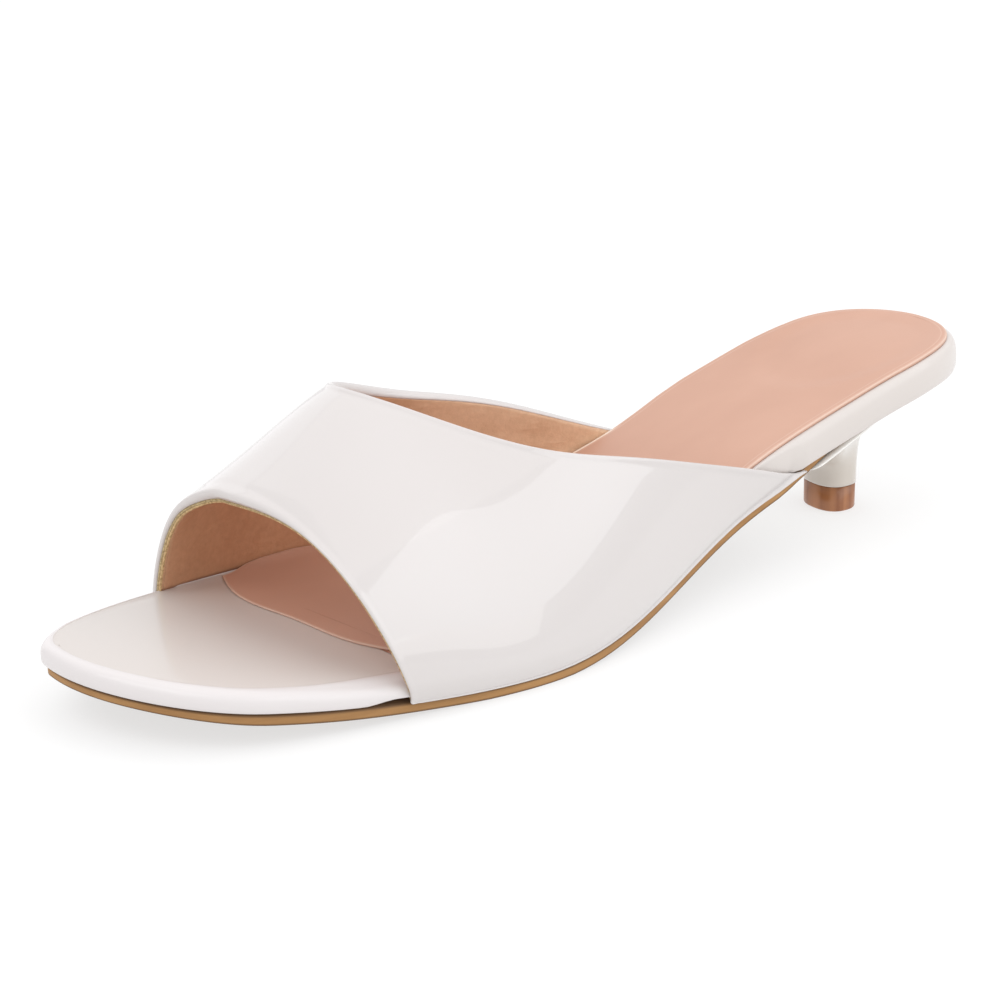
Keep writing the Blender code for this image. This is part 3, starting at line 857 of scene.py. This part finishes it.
def sock_half(side):
    dense = np.linspace(0.0, 1.0, SOCK_FINE)
    along = LENGTH * (1 - np.cos(math.pi * dense)) / 2

    def inset(at, to_side):
        rows = list(zip(*SOCK_FAR_EDGE))
        margin = SOCK_MARGIN if to_side > 0 else np.interp(at, *rows) * MILLI
        return np.maximum(margin, cover(at, to_side, board(at) + GAP + SOCK) + SOCK_BED)

    edge = rim(along, inset)
    halves = edge[:SOCK_FINE], np.concatenate([edge[:1], edge[:SOCK_FINE - 1:-1]])
    edge = halves[0] if side > 0 else halves[1]
    edge = edge[edge[:, 0] < sock_edge_front(edge[:, 1])]
    walked = np.concatenate([[0.0], np.cumsum(np.linalg.norm(np.diff(edge, axis=0), axis=1))])
    picks = np.linspace(0.0, walked[-1], SOCK_SIDE_POINTS)
    flank = np.stack([np.interp(picks, walked, edge[:, k]) for k in (0, 1)], axis=1)
    across = np.linspace(flank[-1, 1], SOCK_FRONT_SIDE, SOCK_FRONT_POINTS + 1)[1:]
    return np.concatenate([flank, np.stack([sock_edge_front(across), across], axis=1)])


def sock_relief(points):
    """The dish at the heel."""
    from_middle = np.linalg.norm((points - DISH_AT) / DISH_SIZE, axis=1)
    return -DISH * (1 - ease(from_middle, 1 - DISH_STEP, 1 + DISH_STEP))


def sock_height(along):
    return GAP + SOCK + (SOCK_SKIVED - GAP - SOCK) * ease(along, *SOCK_SKIVES)


def make_sock(finish):
    loop = loop_of(sock_half(OUTER), sock_half(INNER))
    inward = inward_of(loop)
    size = len(loop)
    half = size // 2
    steps = np.arange(size)
    corners = (SOCK_SIDE_POINTS - 1, size - SOCK_SIDE_POINTS + 1)
    cornering = sum(np.exp(-((steps - corner) / CORNER_SPREAD) ** 2) for corner in corners)
    points, marks = [], []
    for row in SOCK_RINGS:
        ring = loop + inward * row.inset
        for _ in range(CORNER_ROUNDS if row.inset > CORNER_INSET else 0):
            between = (np.roll(ring, 1, axis=0) + np.roll(ring, -1, axis=0)) / 2
            ring = ring + (between - ring) * cornering[:, None]
        climb = CLIMB * within(ring[:, 0], CLIMB_FROM, CLIMB_TO)
        climb = climb * (loop[:, 1] < 0) * (1 - row.inset / CLIMB_RUN)
        high = SOCK_BED + (sock_height(ring[:, 0]) + climb - SOCK_BED) * row.share
        points.append(np.column_stack([ring, top(ring[:, 0]) + high]))
        # painted highlight: the inner edge at the collar takes the rim's cream colour
        pale = within(ring[:, 0], PAINTED_HIGHLIGHT_FROM, PAINTED_HIGHLIGHT_TO) * (loop[:, 1] < 0) * (row.inset < PAINTED_HIGHLIGHT_RINGS)
        rim_mark = row.rim + row.inner_line * (1 - ease(ring[:, 0], *LINE_ENDS))
        marks.append(np.maximum(rim_mark, pale))
    faces = ring_faces(len(SOCK_RINGS), size) + cap_faces(0, size)
    base = (len(SOCK_RINGS) - 1) * size
    count = len(SOCK_RINGS) * size
    rows = {0: [base], half: [base + half]}
    for i in range(1, half):
        start, end = ring[i], ring[size - i]
        shares = np.linspace(0.0, 1.0, SOCK_ROWS + 1)[1:-1, None]
        inner = start + (end - start) * shares
        high = top(inner[:, 0]) + sock_height(inner[:, 0]) + sock_relief(inner)
        points.append(np.column_stack([inner, high]))
        marks.append(np.zeros(len(inner)))
        rows[i] = [base + i, *range(count, count + len(inner)), base + size - i]
        count += len(inner)
    for i in range(1, half - 1):
        for j in range(SOCK_ROWS):
            faces.append((rows[i][j], rows[i][j + 1], rows[i + 1][j + 1], rows[i + 1][j]))
    faces.append(tuple([base] + rows[1]))
    faces.append(tuple(rows[half - 1][::-1] + [base + half]))
    add_piece("sock_lining", place(np.concatenate(points)), faces, finish, ["sock"],
              {"rim": np.concatenate(marks)})


# The upper

COLUMNS = 150
CROWDING = 0.115          # how closely they crowd towards the upper's feet
MIDDLE_ROWS = 30
STRETCHES = (1.0, 3.5)    # least and most length along the foot for one unit square back
FINE_STEP = 1e-5          # steps over which slopes are measured
STEP = 1e-4


def upper_frame(along, turn):
    """Points and inward unit normals of the upper's outer face."""
    at = upper_point(along, turn)
    by_length = upper_point(along + FINE_STEP, turn) - upper_point(along - FINE_STEP, turn)
    low, high = np.clip(turn - STEP, 0, 1), np.clip(turn + STEP, 0, 1)
    by_turn = upper_point(along, high) - upper_point(along, low)
    normal = np.cross(by_length, by_turn)
    normal /= np.linalg.norm(normal, axis=-1, keepdims=True)
    return at, normal


def edge_stretch(cut_at, turn):
    """Length along the foot that takes one unit square back from a cut edge."""
    low, high = np.clip(turn - STEP, 0, 1), np.clip(turn + STEP, 0, 1)
    run = upper_point(LENGTH * cut_at(high), high) - upper_point(LENGTH * cut_at(low), low)
    run /= np.linalg.norm(run, axis=-1, keepdims=True)
    at = LENGTH * cut_at(turn)
    forward = (upper_point(at + STEP, turn) - upper_point(at - STEP, turn)) / (2 * STEP)
    squared = forward - (forward * run).sum(axis=-1, keepdims=True) * run
    return 1 / np.linalg.norm(squared, axis=-1)


TURNS = np.linspace(0.0, 1.0, COLUMNS + 1)
TURNS = TURNS - CROWDING * np.sin(2 * math.pi * TURNS)
TOP_LINE = LENGTH * top_line_at(TURNS)
OPENING = LENGTH * opening_at(TURNS)
TOP_STRETCH = np.clip(edge_stretch(top_line_at, TURNS), *STRETCHES)
OPENING_STRETCH = np.clip(edge_stretch(opening_at, TURNS), *STRETCHES)
TURN_SIDE = np.where(TURNS < 0.5, OUTER, INNER)


# Measures along both edges, one value for each column: 0 on the near side and 1 past the ridge,
# the height over the upper's foot, 0 where the footbed hides the edge, and the depths there
LEDGE_STARTS = (0.0025, 0.0010)                 # under the footbed's top
FLAP_TURNS = (0.0, 0.66, 0.80, 0.88, 0.96)
FLAP_SHARES = (1.0, 1.0, 0.66, 0.40, 0.20)      # how far the patent is turned in at the collar
OVER_RIDGE = ease(TURNS, *RIDGE_TURNS)
FOOT_HEIGHT = upper_point(OPENING, TURNS)[:, 2] - feather(OPENING)
LEDGE = ease(FOOT_HEIGHT, *(BOARD_TOE - start for start in LEDGE_STARTS))
RIM_SHARE = np.interp(TURNS, RIM_TURNS, RIM_SHARES)
RAW_DEPTH = (RIM_SHARE * RIM_DEPTH + RAW_EDGE[-1].far_depth - RIM_DEPTH) * MILLI
PAD_HERE = (RAW_DEPTH - WALL) * OVER_RIDGE * LEDGE
FLAP = np.interp(TURNS, FLAP_TURNS, FLAP_SHARES)
FLAP_ROWS = 4             # rows of the collar's fold that are drawn up with it
TURN_IN = 0.0020          # how far the patent's back starts from either edge


def fold_at(fold):
    """Distance back and depth of a fold's row along the whole edge."""
    back = fold.near_back + (fold.far_back - fold.near_back) * OVER_RIDGE
    depth = fold.near_depth + (fold.far_depth - fold.near_depth) * OVER_RIDGE * FLAP ** 0.5
    return back * MILLI, depth * MILLI


def rim_at(fold):
    """The same on the rim of the toe opening, which is deeper at the ridge and thin at the far foot."""
    deep = RIM_SHARE * min(fold.far_depth, RIM_DEPTH) + max(fold.far_depth - RIM_DEPTH, 0.0)
    back = fold.near_back + (fold.far_back - fold.near_back) * OVER_RIDGE
    depth = fold.near_depth + (deep - fold.near_depth) * OVER_RIDGE
    return back * MILLI, depth * MILLI


def sunk(along, depth):
    """Points at a depth under the outer face, thinner towards the wing tips."""
    at, normal = upper_frame(along, TURNS)
    thin = either(wall, along, TURN_SIDE) / WALL
    return at + normal * (depth * thin)[:, None]


def foot_roll(length, depth, side):
    """The rolled foot under one end of a row, from its top downwards."""
    turn = 0.0 if side > 0 else 1.0
    if side > 0:
        rows = [row.along for row in ROLL]
        drop = np.interp(length, rows, [row.drop for row in ROLL]) * MILLI
        bulge = np.interp(length, rows, [row.swell for row in ROLL]) * MILLI
        lap = ROLL_LAP * (1 - ease(length, wing_tip(side), wing_tip(side) + ROLL_LAP_RUN))
    else:
        drop, bulge, lap = ROLL_INNER.drop * MILLI, ROLL_INNER.swell * MILLI, 0.0
    points = []
    for angle in ROLL_ANGLES:
        turned = math.radians(angle)
        at = length - lap * ease(angle, -90, 0)
        start, normal = upper_frame(np.array([at]), np.array([turn]))
        thin = float(wall(at, side)) / WALL
        out = normal[0] * (depth * thin - bulge * math.cos(turned))
        points.append(start[0] + out - np.array([0.0, 0.0, drop * (1 + math.sin(turned)) / 2]))
    return np.array(points)


def rolled(along, depth):
    """The same, with the patent's foot rolled in at both ends."""
    outer = foot_roll(along[0], depth[0], OUTER)
    inner = foot_roll(along[-1], depth[-1], INNER)
    return np.concatenate([outer[::-1], sunk(along, depth), inner])


def opening_row(back, depth, lay=sunk):
    return lay(OPENING - back * OPENING_STRETCH, depth)


def top_row(back, depth, lay=sunk):
    return lay(TOP_LINE + back * TOP_STRETCH, depth)


def between_row(share, first, last, depth, lay=sunk):
    """A row between both edges: depth(distance from the opening) under the outer face."""
    low = TOP_LINE + first * TOP_STRETCH
    high = OPENING - last * OPENING_STRETCH
    along = low + (high - low) * share
    from_opening = (OPENING - along) / OPENING_STRETCH
    from_top = (along - TOP_LINE) / TOP_STRETCH
    return lay(along, depth(from_opening, from_top))


def shell(name, rows, finish, replaced, marks=None):
    """A closed band through rows of points that run round its section."""
    width = len(rows[0])
    count = len(rows)
    points = np.concatenate(rows)
    faces = []
    for row in range(count):
        after = (row + 1) % count
        for column in range(width - 1):
            a, b = row * width + column, after * width + column
            faces.append((a, a + 1, b + 1, b))
    faces.append(tuple(row * width for row in range(count)))
    faces.append(tuple(row * width + width - 1 for row in reversed(range(count))))
    add_piece(name, place(points), faces, finish, replaced, marks)


def flush(run, from_top):
    return np.zeros_like(run)


def patent_depth(run, from_top):
    return np.full_like(run, PATENT)


def make_patent(finish):
    first = fold_at(TOP_FOLD[-1])[0]
    last = fold_at(OPENING_FOLD[0])[0]
    rows = []
    for index, fold in enumerate(TOP_FOLD):
        back, depth = fold_at(fold)
        rows.append(top_row(back * FLAP if index < FLAP_ROWS else back, depth, rolled))
    for row in range(1, MIDDLE_ROWS):
        rows.append(between_row(row / MIDDLE_ROWS, first, last, flush, rolled))
    rows += [opening_row(*rim_at(fold), rolled) for fold in OPENING_FOLD]
    rows.append(opening_row(np.full_like(TURNS, TURN_IN), PATENT + PAD_HERE / 2, rolled))
    for row in range(MIDDLE_ROWS - 1, 0, -1):
        rows.append(between_row(row / MIDDLE_ROWS, TURN_IN, TURN_IN * 2, patent_depth, rolled))
    rows.append(top_row(np.full_like(TURNS, TURN_IN), np.full_like(TURNS, PATENT), rolled))
    shell("upper_patent", rows, finish, ["upper"])


LINING = 0.0005           # thickness of the lining
PAD_STARTS = 0.0010       # distance from an edge up to which the padding is full
LINING_ROWS = 60
LINING_FOOT_SHADE = 0.0007      # height over which its foot is darkened with a painted contact shadow
FOOT_SHADE_STARTS = (0.140, 0.165)                      # lengths over which that painted shadow begins
PAINTED_LIGHT_ENDS = (0.105, 0.175)                         # lengths over which the lining's paler back, painted light at the collar, ends
LINING_TURNS = (0.0, 0.30, 0.50, 0.66, 0.80, 0.88, 0.96)
LINING_BACK = (1.1, 1.1, 1.6, 1.6, 1.0, 0.55, 0.25)     # how far the patent is turned in, in millimetres
LINING_FRONT = (0.55, 0.75)                             # the same at the toe opening
LINING_LAP = 0.0002       # how much further back its hidden side starts


def lining_depth(run, from_top=None):
    """Depth of the lining's face, pushed in by the padding near both edges."""
    pad = PAD_HERE * (1 - ease(run, PAD_STARTS, PAD_RUN))
    if from_top is not None:
        near_top = 1 - ease(from_top, PAD_STARTS, COLLAR_RUN)
        pad = np.maximum(pad, COLLAR_PAD * OVER_RIDGE * FLAP ** 0.5 * near_top)
    return WALL + pad


def lining_back(run, from_top):
    return lining_depth(run, from_top) - LINING


def make_lining(finish):
    top_back = np.interp(TURNS, LINING_TURNS, LINING_BACK) * MILLI
    front_back = np.interp(TURNS, RIDGE_TURNS, LINING_FRONT) * MILLI
    rows = [top_row(top_back, np.full_like(TURNS, WALL - LINING))]
    for row in range(LINING_ROWS + 1):
        rows.append(between_row(row / LINING_ROWS, top_back, front_back, lining_depth))
    rows.append(opening_row(front_back, lining_depth(front_back) - LINING / 2))
    for row in range(LINING_ROWS, -1, -1):
        rows.append(between_row(row / LINING_ROWS, top_back + LINING_LAP, front_back + LINING_LAP,
                                lining_back))
    points = np.concatenate(rows)
    # painted contact shadow along the lining's foot, from the front part on
    foot = 1 - ease(points[:, 2] - top(points[:, 0]), 0.0, LINING_FOOT_SHADE)
    # the lining's back is painted lighter as painted light at the collar
    marks = {"foot": foot * ease(points[:, 0], *FOOT_SHADE_STARTS), "painted_collar_light": 1 - ease(points[:, 0], *PAINTED_LIGHT_ENDS)}
    shell("upper_lining", rows, finish, ["upper"], marks)


RAW_BACK = (0.0020, 0.0014)                     # its hidden back: distance from the edge and depth


def make_raw_edge(finish):
    """The raw, padded layer that shows between patent and lining at the toe opening."""
    rows = []
    within_wall = 1 - (1 - LEDGE) * (1 - WALL / RAW_DEPTH) * OVER_RIDGE
    for fold in RAW_EDGE:
        back, depth = rim_at(fold)
        rows.append(opening_row(back, depth * within_wall))
    rows.append(opening_row(*(np.full_like(TURNS, measure) for measure in RAW_BACK)))
    marks = {"strand": np.repeat(RAW_STRANDS + (0.0,), len(TURNS))}
    shell("upper_raw_edge", rows, finish, ["upper"], marks)


# The heel

HEEL_POINTS = 40
HEEL_ROWS = 34
FLARE_STEP = 0.0002       # how far the flare stands in under the lip
LIP_BEAD = (
    Edge(0.0001, 0.96),
    Edge(-0.0004, 0.88),
    Edge(-0.0008, 0.72),
    Edge(-0.0009, 0.54),
    Edge(-0.0007, 0.34),
    Edge(-0.0002, 0.18),
    Edge(0.0006, 0.06),
    Edge(0.0014, 0.00),
)
LIP_HIGHLIGHT_FROM = 0.1           # share of the lip's height next to the sole, shaded by it, that is left without the painted highlight
CORNER_MIDDLE = 0.3       # how far the middle of the top piece's rounded corner stands in


def stem_loop(inset=0.0):
    return oval(STEM_AT, STEM_SIDE, STEM_LENGTH / 2 - inset, STEM_LENGTH / 2 - inset,
                STEM_WIDTH / 2 - inset, STEM_POWER, STEM_POWER, HEEL_POINTS)


def seat_loop(inset=0.0):
    widest = BREAST - SEAT_FRONT
    outer, inner = outline(widest, OUTER), outline(widest, INNER)
    half = (outer - inner) / 2 - SEAT_STEP - inset
    return oval(widest, (outer + inner) / 2, widest - SEAT_BACK - inset, SEAT_FRONT - inset,
                half, SEAT_POWER_BACK, SEAT_POWER_FRONT, HEEL_POINTS)


def make_heel(finish):
    foot = TOP_PIECE + GAP
    stem, seat = stem_loop(), seat_loop(FLARE_STEP)
    under = outsole_bottom(seat[:, 0]) - GAP
    rings = []
    for row in range(HEEL_ROWS + 1):
        share = row / HEEL_ROWS
        flare = share ** STEM_FLARE
        rings.append((stem + (seat - stem) * flare, foot + (under - LIP - foot) * share))
    marks = [np.zeros(len(stem))] * len(rings)
    for row in LIP_BEAD:
        loop = seat_loop(row.inset)
        rings.append((loop, outsole_bottom(loop[:, 0]) - GAP - LIP * row.drop))
        # painted highlight on the lip's bead, below the part next to the sole
        marks.append(np.full(len(loop), 1.0 if row.drop > LIP_HIGHLIGHT_FROM else 0.0))
    loft("heel_wrap", rings, finish, ["heel"], {"lip": np.concatenate(marks)})


def make_top_piece(finish):
    rings = []
    middle = TOP_PIECE_EDGE * CORNER_MIDDLE
    for inset, height in ((TOP_PIECE_EDGE, 0.0), (middle, middle), (0.0, TOP_PIECE_EDGE),
                          (0.0, TOP_PIECE)):
        loop = stem_loop(TOP_PIECE_STEP + inset)
        rings.append((loop, np.full(len(loop), height)))
    loft("top_piece_lift", rings, finish, ["top_piece"])


# The studio

CAMERA_AZIMUTH = math.radians(56.0)
CAMERA_ELEVATION = math.radians(20.5)
CAMERA_ROLL = math.radians(-1.48)
CAMERA_DISTANCE = 0.5489
CAMERA_TARGET = (0.1354, 0.0, 0.0251)
CAMERA_LENS = 85.7
FLOOR_SIZE = 8.0


def make_camera():
    back = Vector((math.sin(CAMERA_AZIMUTH) * math.cos(CAMERA_ELEVATION),
                   -math.cos(CAMERA_AZIMUTH) * math.cos(CAMERA_ELEVATION),
                   math.sin(CAMERA_ELEVATION)))
    level = Vector((0, 0, 1)).cross(back).normalized()
    upright = back.cross(level)
    right = level * math.cos(CAMERA_ROLL) + upright * math.sin(CAMERA_ROLL)
    up = upright * math.cos(CAMERA_ROLL) - level * math.sin(CAMERA_ROLL)
    camera = bpy.data.objects.new("camera", bpy.data.cameras.new("camera"))
    camera.data.lens = CAMERA_LENS
    camera.data.sensor_width = 36
    camera.data.clip_start = 0.01
    target = Vector(place(CAMERA_TARGET))
    turned = Matrix((right, up, back)).transposed().to_4x4()
    camera.matrix_world = Matrix.Translation(target + back * CAMERA_DISTANCE) @ turned
    bpy.context.scene.collection.objects.link(camera)
    bpy.context.scene.camera = camera


def make_floor():
    mesh = bpy.data.meshes.new("floor")
    half = FLOOR_SIZE / 2
    corners = [(-half, -half, 0), (half, -half, 0), (half, half, 0), (-half, half, 0)]
    mesh.from_pydata(corners, [], [(0, 1, 2, 3)])
    floor = bpy.data.objects.new("floor", mesh)
    bpy.context.scene.collection.objects.link(floor)
    nodes = Nodes("pale floor")
    mesh.materials.append(nodes.finish(
        Base_Color=(0.32, 0.32, 0.32, 1.0), Roughness=0.9, Specular_IOR_Level=0.1,
        Emission_Color=(1.0, 1.0, 1.0, 1.0), Emission_Strength=0.67))


def soft_box(name, centre, size, power, tint=(1.0, 1.0, 1.0), aim=(0.0, 0.0, 0.0)):
    """A rectangular soft box at a point of the room, facing another."""
    data = bpy.data.lights.new(name, "AREA")
    data.shape = "RECTANGLE"
    data.size, data.size_y = size
    data.energy = power
    data.color = tint
    light = bpy.data.objects.new(name, data)
    light.location = centre
    light.rotation_euler = (Vector(centre) - Vector(aim)).to_track_quat("Z", "Y").to_euler()
    bpy.context.scene.collection.objects.link(light)


def toward(azimuth, elevation, distance):
    """A point of the room in a direction given as for the camera."""
    azimuth, elevation = math.radians(azimuth), math.radians(elevation)
    return (distance * math.sin(azimuth) * math.cos(elevation),
            -distance * math.cos(azimuth) * math.cos(elevation), distance * math.sin(elevation))


def make_studio():
    world = bpy.data.worlds.new("studio")
    bpy.context.scene.world = world
    world.use_nodes = True
    shade = world.node_tree.nodes["Background"]
    shade.inputs["Color"].default_value = (0.985, 0.99, 1.0, 1.0)
    shade.inputs["Strength"].default_value = 0.88
    soft_box("right box", toward(128, 40, 1.2), (1.3, 0.97), 4.0, (0.94, 0.98, 1.0))
    over = (-0.42, 0.495)
    soft_box("ceiling", (*over, 1.0), (1.6, 1.27), 2.4, (1.0, 0.93, 0.90), (*over, 0.0))
    soft_box("front box", toward(8, 56, 1.2), (0.9, 0.6), 2.6)
    soft_box("low box", toward(104, 12, 1.2), (0.5, 0.25), 0.4, (1.0, 0.98, 0.95))
    soft_box("left box", toward(-88, 21, 1.5), (0.9, 0.95), 1.25, (0.97, 0.98, 1.0))
    bpy.context.scene.view_settings.view_transform = "Standard"


def main():
    make_camera()
    make_floor()
    make_studio()
    white = patent_finish("white patent", (0.635, 0.592, 0.575), (0.655, 0.617, 0.605))
    bed = patent_finish("footbed patent", (0.66, 0.605, 0.57), (0.68, 0.63, 0.60), 0.25, 0.015, 0.35,
                        # band: the toe end of the wrap's side and crown painted lighter, as painted
                        # light
                        ("band", (0.74, 0.70, 0.695)))
    # the heel's patent is a darker, warmer copy of the white patent: painted shade under the sole and a
    # painted warm bounce from the tan sole
    wrap = patent_finish("heel patent", (0.60, 0.54, 0.475), (0.62, 0.56, 0.50),
                         # the lip's near-white colour is a painted highlight
                         painted_light=("lip", (0.92, 0.90, 0.86)))
    make_outsole(outsole_finish())
    make_footbed(bed)
    make_sock(sock_finish())
    make_patent(white)
    make_lining(lining_finish())
    make_raw_edge(raw_edge_finish())
    make_heel(wrap)
    make_top_piece(top_piece_finish())


main()
bpy.context.view_layer.update()
